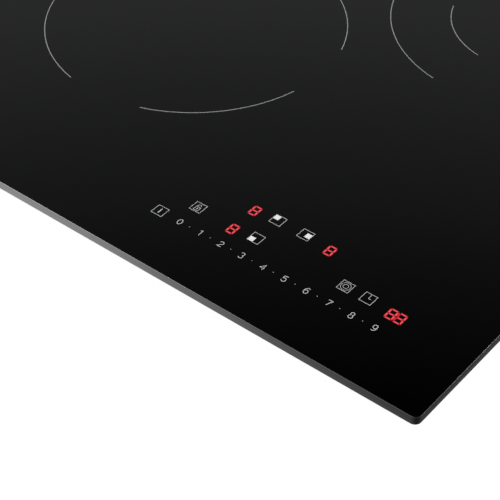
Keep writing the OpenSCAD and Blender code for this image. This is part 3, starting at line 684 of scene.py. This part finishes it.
def make_key(name, place, lines=(), fills=()):
    """A square key with lines of (path, closed, width) and filled outlines inside."""
    key = Solids()
    centre = from_corner(*place)
    key.stroke(placed(SQUARE, centre), KEY_LINE, PRINT_LOW, PRINT_HIGH, closed=True)
    for path, closed, width in lines:
        key.stroke(placed(path, centre), width, PRINT_LOW, PRINT_HIGH, closed)
    for outline in fills:
        key.prism(placed(outline, centre), PRINT_LOW, PRINT_HIGH, finish=1)
    key.piece(name, [fine_print, white_print], slot="glass_ceramic")


SHACKLE = [(-1.1, 0.35)] + arc((0, 1.25), (1.1, 1.05), 180, 10, 10)
make_key("key_power", (-204.03, 39.19), lines=[([(0, -2), (0, 2)], False, POWER_LINE)])
make_key(
    "key_lock",
    (-188.97, 55.08),
    lines=[
        (box_outline(-1.55, -2.75, 1.55, 0.35), True, LOCK_LINE),
        (SHACKLE, False, LOCK_LINE),
        ([(0, -1.1), (0, -2.0)], False, KEYHOLE_LINE),
    ],
    fills=[ellipse((0, -1.0), (KEYHOLE_R, KEYHOLE_R), 12)],
)
make_key("key_front_left", (-146.61, 55.19), fills=[box_outline(-KEY_HALF, -KEY_HALF, 0, 0)])
make_key("key_rear_left", (-146.61, 74.81), fills=[box_outline(-KEY_HALF, 0, 0, KEY_HALF)])
make_key("key_right", (-126.81, 74.81), fills=[box_outline(0.1, -KEY_HALF / 2, KEY_HALF, KEY_HALF / 2)])
make_key(
    "key_dual_ring",
    (-84.44, 55.06),
    lines=[(ellipse((0, 0), (r, r), 32), True, DUAL_RING_LINE) for r in (2.95, 1.55)],
)
make_key("key_timer", (-69.5, 55.03), lines=[([(0, KEY_HALF), (0, 0), (1.9, 0)], False, KEY_LINE)])

# ---- Lit digits ----

DIGIT_HALF_W = 2.7
DIGIT_HALF_H = 4.15
BAR = 1.08
BAR_GAP = 0.18
BAR_MITRE = 0.3
BAR_CORE = 0.62
# Brightness of a digit's left bars beside its neighbour: painted shade on the lit bars.
PAINTED_SHADE_GLOW = 0.15
TIMER_HALF_PITCH = 2.8


def digit_bars():
    """Outlines of the seven bars of a digit, mitred where they meet."""
    w, h, t, g = DIGIT_HALF_W, DIGIT_HALF_H, BAR, BAR_GAP
    cut = BAR_MITRE
    top = [(-w + cut + g, h), (-w + t + g, h - t), (w - t - g, h - t), (w - cut - g, h)]
    side = [(-w, h - cut - g), (-w, 0.45), (-w + 0.45, g), (-w + t, t / 2 + g), (-w + t, h - t - g)]
    bars = [top, [(x, -y) for x, y in reversed(top)]]
    for sx in (1, -1):
        for sy in (1, -1):
            bar = [(sx * x, sy * y) for x, y in side]
            bars.append(bar if sx * sy > 0 else bar[::-1])
    tip, shoulder = w - 0.55 - g, w - t
    lower = [(-tip, 0), (-shoulder, -t / 2), (shoulder, -t / 2)]
    bars.append(lower + [(-x, -y) for x, y in lower])
    return bars


def add_bar(digit, outline, centre, brightness):
    """A bar whose brightness runs from its ends to its middle."""
    start, count = len(digit.points), len(outline)
    middle = (sum(x for x, _ in outline) / count, sum(y for _, y in outline) / count)
    reach = max(math.dist(p, middle) for p in outline)
    for z in (PRINT_LOW, PRINT_HIGH):
        for share in (1.0, BAR_CORE):
            ring = []
            for x, y in outline:
                ring.append((middle[0] + (x - middle[0]) * share, middle[1] + (y - middle[1]) * share))
            digit.points += [(*p, z) for p in placed(ring, centre)]
            digit.glow += [brightness * max(0.0, 1.15 - math.dist(p, middle) / reach) for p in ring]
    outer_low, inner_low, outer_high, inner_high = [start + i * count for i in range(4)]
    for k in range(count):
        m = (k + 1) % count
        digit.add_face((outer_low + m, outer_low + k, inner_low + k, inner_low + m), 0)
        digit.add_face((outer_low + k, outer_low + m, outer_high + m, outer_high + k), 0)
        digit.add_face((outer_high + k, outer_high + m, inner_high + m, inner_high + k), 0)
    digit.add_face(range(inner_low + count - 1, inner_low - 1, -1), 0)
    digit.add_face(range(inner_high, inner_high + count), 0)


def make_digit(name, places):
    """Digits side by side; each digit's left bars beside its neighbour are made fainter, as painted shade.
    """
    digit = Solids()
    for number, place in enumerate(places):
        for outline in digit_bars():
            # Left bars of every digit after the first are dimmed: painted shade.
            in_painted_shade = number > 0 and max(x for x, _ in outline) < 0
            add_bar(digit, outline, from_corner(*place), PAINTED_SHADE_GLOW if in_painted_shade else 1.0)
    digit.piece(name, [red_light], slot="display_case")


make_digit("digit_rear_left", [(-161.86, 73.06)])
make_digit("digit_front_left", [(-161.83, 52.94)])
make_digit("digit_right", [(-108.22, 72.58)])
make_digit("digits_timer", [(-50.11 + side * TIMER_HALF_PITCH, 52.89) for side in (-1, 1)])

# ---- Soft rim parts under the glass ----

SEAL_STEPS = 48
SEAL_HALF_W = 3.9 * MM
SEAL_INSET = 4 * MM
BEAD_HALF_W = 3.4 * MM
BEAD_INSET = 3.5 * MM
BEAD_CORNER_R = 3 * MM
BEAD_STEP = 12 * MM


def crowned_section(half_w, half_h, wave):
    """Cross-section of a soft strip with bulging sides."""
    points = []
    for x, y in rounded_outline(half_w, half_h, min(half_w, half_h) * 0.7, steps=4):
        bulge = 1 + wave * (1 - (y / half_h) ** 2)
        points.append((x * bulge, y))
    return points


def make_seal():
    """Foam tape under the rim, four strips butted at the corners."""
    low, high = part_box("worktop_seal")
    half_w, half_h = SEAL_HALF_W, (high.z - low.z) / 2
    z = (low.z + high.z) / 2
    along_x, along_y = high.x - SEAL_INSET, high.y - SEAL_INSET
    seal = Solids()
    runs = [
        ((along_x, -along_y - half_w), (along_x, along_y + half_w)),
        ((-along_x, along_y + half_w), (-along_x, -along_y - half_w)),
        ((-along_x + half_w, -along_y), (along_x - half_w, -along_y)),
        ((along_x - half_w, along_y), (-along_x + half_w, along_y)),
    ]
    for number, (start, end) in enumerate(runs):
        path = []
        for i in range(SEAL_STEPS + 1):
            share = i / SEAL_STEPS
            path.append((start[0] + (end[0] - start[0]) * share, start[1] + (end[1] - start[1]) * share, z))

        def section(i, phase=number):
            return crowned_section(half_w, half_h, 0.02 + 0.015 * math.sin(1.7 * i + phase))

        seal.tube(path, section, UP)
    tape = seal.piece("foam_tape", [finishes["foam_rubber"]], replaces=["worktop_seal"], slot="foam_rubber")


def make_adhesive():
    """Silicone bead that bonds the glass to its frame, pressed out unevenly."""
    low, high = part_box("glass_adhesive")
    half_h = (high.z - low.z) / 2
    z = (low.z + high.z) / 2
    outline = rounded_outline(high.x - BEAD_INSET, high.y - BEAD_INSET, BEAD_CORNER_R, steps=4)
    path = []
    for i, (x, y) in enumerate(outline):
        after = outline[(i + 1) % len(outline)]
        pieces = max(1, int(math.dist((x, y), after) / BEAD_STEP))
        for k in range(pieces):
            path.append((x + (after[0] - x) * k / pieces, y + (after[1] - y) * k / pieces, z))

    def section(i):
        return crowned_section(BEAD_HALF_W * (0.95 + 0.04 * math.sin(2.3 * i)), half_h, 0.03)

    bead = Solids()
    bead.tube(path, section, UP, closed=True)
    bead.piece("silicone_bead", [finishes["silicone"]], replaces=["glass_adhesive"], slot="silicone")


make_seal()
make_adhesive()

# ---- Coil springs, leads and windings ----

SPRING_R = 5 * MM
WIRE_R = 0.6 * MM
WIRE_SIDES = 8
STEPS_PER_TURN = 20
SPRING_TURNS = 5
LARGE_SPRING_ANGLES = [22.5, 157.5, 292.5]
SMALL_SPRING_ANGLES = [30, 150, 270]
SPRING_INSET = 12 * MM
LEAD_R = 1.9 * MM
LEAD_STEPS = 40
SLEEVE_START = 4 * MM
TAB_HALF = (2.4 * MM, 0.4 * MM)
TAB_HEIGHT = 6 * MM
LITZ_PITCH = 3.8 * MM
LITZ_LOBES = 7
CORE_R = 20 * MM
WINDING_GAP = 7 * MM


def round_section(radius):
    section = ellipse((0, 0), (radius, radius), WIRE_SIDES)
    return lambda i: section


def helix(centre, radius, z_low, z_high, turns):
    """A compression spring's centre line, with its end turns closed."""
    count = turns * STEPS_PER_TURN
    path = []
    for i in range(count + 1):
        share = i / count
        climb = min(1.0, max(0.0, (share * turns - 0.8) / (turns - 1.6)))
        a = 2 * math.pi * turns * share
        x, y = centre[0] + radius * math.cos(a), centre[1] + radius * math.sin(a)
        path.append((x, y, z_low + (z_high - z_low) * climb))
    return path


def make_springs(zone, centre, coil_r, angles):
    """The springs under one coil."""
    node = "springs_" + zone
    low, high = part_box(node)
    springs = Solids()
    for angle in angles:
        a = math.radians(angle)
        reach = coil_r - SPRING_INSET
        foot = (centre[0] + reach * math.cos(a), centre[1] + reach * math.sin(a))
        path = helix(foot, SPRING_R, low.z + WIRE_R, high.z - WIRE_R, SPRING_TURNS)
        springs.tube(path, round_section(WIRE_R), UP)
    steel = [finishes["spring_steel"]]
    piece = springs.piece("coil_springs_" + zone, steel, replaces=[node], slot="spring_steel")
    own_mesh(piece)


def make_leads(zone, centre, offsets):
    """Sleeved litz leads standing on push-on tabs."""
    node = "leads_" + zone
    low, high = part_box(node)
    leads = Solids()

    def sleeve(i):
        radius = LEAD_R * (0.93 + 0.05 * math.cos(1.9 * i))
        return ellipse((0, 0), (radius, radius), 14)

    for x, y in offsets:
        foot = (centre[0] + x * MM, centre[1] + y * MM)
        tab_low = (foot[0] - TAB_HALF[0], foot[1] - TAB_HALF[1], low.z)
        tab_high = (foot[0] + TAB_HALF[0], foot[1] + TAB_HALF[1], low.z + TAB_HEIGHT)
        leads.block(tab_low, tab_high, finish=1)
        path = []
        for i in range(LEAD_STEPS + 1):
            path.append((*foot, low.z + SLEEVE_START + (high.z - low.z - SLEEVE_START) * i / LEAD_STEPS))
        leads.tube(path, sleeve, Vector((1, 0, 0)))
    piece = leads.piece(
        "coil_leads_" + zone,
        [finishes["silicone_sleeve"], finishes["contact_spring"]],
        replaces=[node],
        slot="silicone_sleeve",
    )
    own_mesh(piece)


def make_winding(node, body, inner):
    """One flat coil: a bundle of twisted strands laid in a close spiral."""
    low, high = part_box(node)
    centre = ((low.x + high.x) / 2, (low.y + high.y) / 2)
    outer = (high.x - low.x) / 2
    wire = LITZ_PITCH / 2 * 0.97
    turns = int((outer - inner - 2 * wire) / LITZ_PITCH)
    z = (low.z + high.z) / 2
    step = math.radians(5)
    path, angle = [], 0.0
    while angle < 2 * math.pi * turns:
        radius = inner + wire + LITZ_PITCH * angle / (2 * math.pi)
        path.append((centre[0] + radius * math.cos(angle), centre[1] + radius * math.sin(angle), z))
        angle += step
    height = (high.z - low.z) / 2

    def lobed(i):
        """Strands round the bundle, turned a little further at each step."""
        points = []
        for k in range(2 * LITZ_LOBES):
            a = math.pi * k / LITZ_LOBES + 0.22 * i
            swell = 1.0 if k % 2 else 0.86
            points.append((wire * swell * math.cos(a), height * swell * math.sin(a)))
        return points

    coil = Solids()
    coil.tube(path, lobed, UP)
    copper = [finishes["litz_copper"]]
    coil.piece("litz_" + node, copper, body=body, replaces=[node], slot="litz_copper", crease=80)


make_springs("front_left", front_left, large_coil, LARGE_SPRING_ANGLES)
make_springs("rear_left", rear_left, small_coil, SMALL_SPRING_ANGLES)
make_springs("right", right, large_coil, LARGE_SPRING_ANGLES)
make_leads("front_left", front_left, [(18, 56), (28, 56)])
make_leads("rear_left", rear_left, [(47, -40), (41, -34)])
make_leads("right", right, [(-56, -23), (-63, -27), (-41, -17), (-48, -20)])
make_winding("winding_front_left", "coil_front_left", CORE_R)
make_winding("winding_rear_left", "coil_rear_left", CORE_R)
make_winding("winding_right_inner", "coil_right", CORE_R)
_, inner_winding = node_centre("winding_right_inner")
make_winding("winding_right_outer", "coil_right", inner_winding + WINDING_GAP)

# ---- Studio ----

FLOOR_HALF = 7.0
FLOOR_Z = -0.0002
FLOOR_TONE = 0.16
FLOOR_GLOW = 0.95
BACKDROP_R = 12.0
BACKDROP_TONE = 0.1
BACKDROP_GLOW = 0.9
KEY_LIGHTS = [(-50, 50, 22), (55, 52, 22)]
KEY_DISTANCE = 2.2
KEY_SIZE = (1.0, 1.0)
EDGE_LIGHT_X = -0.066
EDGE_LIGHT_Z = 0.03
EDGE_LIGHT_REACH = 0.215
EDGE_LIGHT_POWER = 15.5
EDGE_LIGHT_SIZE = (0.12, 0.04)
RIM_LIGHT = (127, 6, 36)
RIM_DISTANCE = 1.5
RIM_LIGHT_SIZE = (0.5, 0.15)
CAMERA_LENS = 111.87
CAMERA_SENSOR = 36
CAMERA_AIM = (-143.14, 45.36)
CAMERA_AZIMUTH = 38.99
CAMERA_ELEVATION = 42.006
CAMERA_DISTANCE = 0.8605
# Brightness of the surroundings, from straight below at 0 to straight overhead at 1.
WORLD_STOPS = [
    (0.0, 1.0),
    (0.09, 0.9),
    (0.16, 0.25),
    (0.3, 0.19),
    (0.48, 0.24),
    (0.545, 0.278),
    (0.595, 0.198),
    (0.62, 0.160),
    (0.645, 0.128),
    (0.669, 0.083),
    (0.693, 0.056),
    (0.737, 0.008),
    (0.78, 0.003),
    (1.0, 0.003),
]


def staged(name, points, faces, tone, glow):
    """A pale, faintly clouded surface round the object that isn't part of it."""
    mesh = bpy.data.meshes.new(name)
    mesh.from_pydata(points, [], faces)
    finish = Finish(name + "_finish", Roughness=0.9, Specular_IOR_Level=0.0)
    dark, light = shades((tone, tone, tone), 0.03)
    finish.feed("Base Color", finish.colours(finish.noise(3, detail=2), [(0.3, dark), (0.7, light)]))
    finish.shader.inputs["Emission Color"].default_value = (1, 1, 1, 1)
    finish.shader.inputs["Emission Strength"].default_value = glow
    mesh.materials.append(finish.material)
    thing = bpy.data.objects.new(name, mesh)
    bpy.context.scene.collection.objects.link(thing)
    return thing, finish


def make_floor():
    """Plain pale floor that views from below see through."""
    h = FLOOR_HALF
    corners = [(x * h, y * h, FLOOR_Z) for x, y in ((-1, -1), (1, -1), (1, 1), (-1, 1))]
    _, finish = staged("floor", corners, [(0, 1, 2, 3)], FLOOR_TONE, FLOOR_GLOW)
    clear = finish.nodes.new("ShaderNodeBsdfTransparent")
    side = finish.nodes.new("ShaderNodeNewGeometry")
    both = finish.nodes.new("ShaderNodeMixShader")
    finish.links.new(side.outputs["Backfacing"], both.inputs["Fac"])
    finish.links.new(finish.shader.outputs["BSDF"], both.inputs[1])
    finish.links.new(clear.outputs["BSDF"], both.inputs[2])
    finish.links.new(both.outputs["Shader"], finish.nodes["Material Output"].inputs["Surface"])


def make_backdrop():
    """Pale dome behind everything; it lights nothing and no surface mirrors it."""
    dome = Solids()
    rings = []
    for elevation in range(-85, 86, 10):
        radius = BACKDROP_R * math.cos(math.radians(elevation))
        height = BACKDROP_R * math.sin(math.radians(elevation))
        rings.append([(x, y, height) for x, y in ellipse((0, 0), (radius, radius), 48)])
    dome.loft(rings)
    thing, _ = staged("backdrop", dome.points, dome.faces, BACKDROP_TONE, BACKDROP_GLOW)
    thing.visible_diffuse = False
    thing.visible_glossy = False
    thing.visible_transmission = False
    thing.visible_shadow = False


def make_world():
    """Surroundings that are bright low down and dark overhead, for the glass to mirror."""
    world = bpy.data.worlds.new("studio")
    bpy.context.scene.world = world
    world.use_nodes = True
    nodes, links = world.node_tree.nodes, world.node_tree.links
    way = nodes.new("ShaderNodeTexCoord")
    split = nodes.new("ShaderNodeSeparateXYZ")
    ramp = nodes.new("ShaderNodeValToRGB")
    links.new(way.outputs["Generated"], split.inputs["Vector"])
    links.new(split.outputs["Z"], ramp.inputs["Fac"])
    while len(ramp.color_ramp.elements) < len(WORLD_STOPS):
        ramp.color_ramp.elements.new(0.5)
    for element, (place, value) in zip(ramp.color_ramp.elements, WORLD_STOPS):
        element.position = place
        element.color = (value * 0.985, value * 1.01, value, 1.0)
    links.new(ramp.outputs["Color"], nodes["Background"].inputs["Color"])


def aim(thing, place, target):
    """Puts a light or the camera at a place, looking at a target."""
    thing.location = place
    thing.rotation_euler = (Vector(target) - Vector(place)).to_track_quat("-Z", "Y").to_euler()


def back_from(target, azimuth, elevation, distance):
    """The point at that distance from a target; azimuth 0 is in front and 90 to the right."""
    a, e = math.radians(azimuth), math.radians(elevation)
    way = Vector((math.sin(a) * math.cos(e), -math.cos(a) * math.cos(e), math.sin(e)))
    return Vector(target) + distance * way


def make_light(name, power, size, place, target):
    """A soft box of that width and height."""
    light = bpy.data.lights.new(name, "AREA")
    light.shape = "RECTANGLE"
    light.size, light.size_y = size
    light.energy = power
    thing = bpy.data.objects.new(name, light)
    bpy.context.scene.collection.objects.link(thing)
    aim(thing, place, target)
    thing.visible_camera = False
    return thing


def link_to_glass(lights, state):
    """INCLUDE makes lights reach the glass alone; EXCLUDE, everything but the glass."""
    listed = bpy.data.collections.new("glass_" + state.lower())
    listed.objects.link(glass_sheet)
    listed.collection_objects[0].light_linking.link_state = state
    for light in lights:
        light.light_linking.receiver_collection = listed


def make_camera():
    camera = bpy.data.cameras.new("camera")
    camera.lens = CAMERA_LENS
    camera.sensor_width = CAMERA_SENSOR
    thing = bpy.data.objects.new("camera", camera)
    bpy.context.scene.collection.objects.link(thing)
    target = Vector((*from_corner(*CAMERA_AIM), GLASS_TOP))
    aim(thing, back_from(target, CAMERA_AZIMUTH, CAMERA_ELEVATION, CAMERA_DISTANCE), target)
    camera.clip_start = 0.01
    bpy.context.scene.camera = thing


make_floor()
make_backdrop()
make_world()
soft_boxes = []
for number, (azimuth, elevation, power) in enumerate(KEY_LIGHTS):
    place = back_from((0, 0, 0), azimuth, elevation, KEY_DISTANCE)
    soft_boxes.append(make_light(f"soft_box_{number}", power, KEY_SIZE, place, (0, 0, 0)))
azimuth, elevation, power = RIM_LIGHT
rim_place = back_from((0, 0, 0), azimuth, elevation, RIM_DISTANCE)
rim_light = make_light("rim_light", power, RIM_LIGHT_SIZE, rim_place, (0, 0, 0))
edge_place = Vector((EDGE_LIGHT_X, glass_low.y - EDGE_LIGHT_REACH, EDGE_LIGHT_Z))
edge_target = edge_place + Vector((0, 1, 0))
edge_light = make_light("edge_strip", EDGE_LIGHT_POWER, EDGE_LIGHT_SIZE, edge_place, edge_target)
edge_light.visible_glossy = False
link_to_glass([rim_light, edge_light], "INCLUDE")
link_to_glass(soft_boxes, "EXCLUDE")
make_camera()
bpy.context.scene.view_settings.view_transform = "Standard"
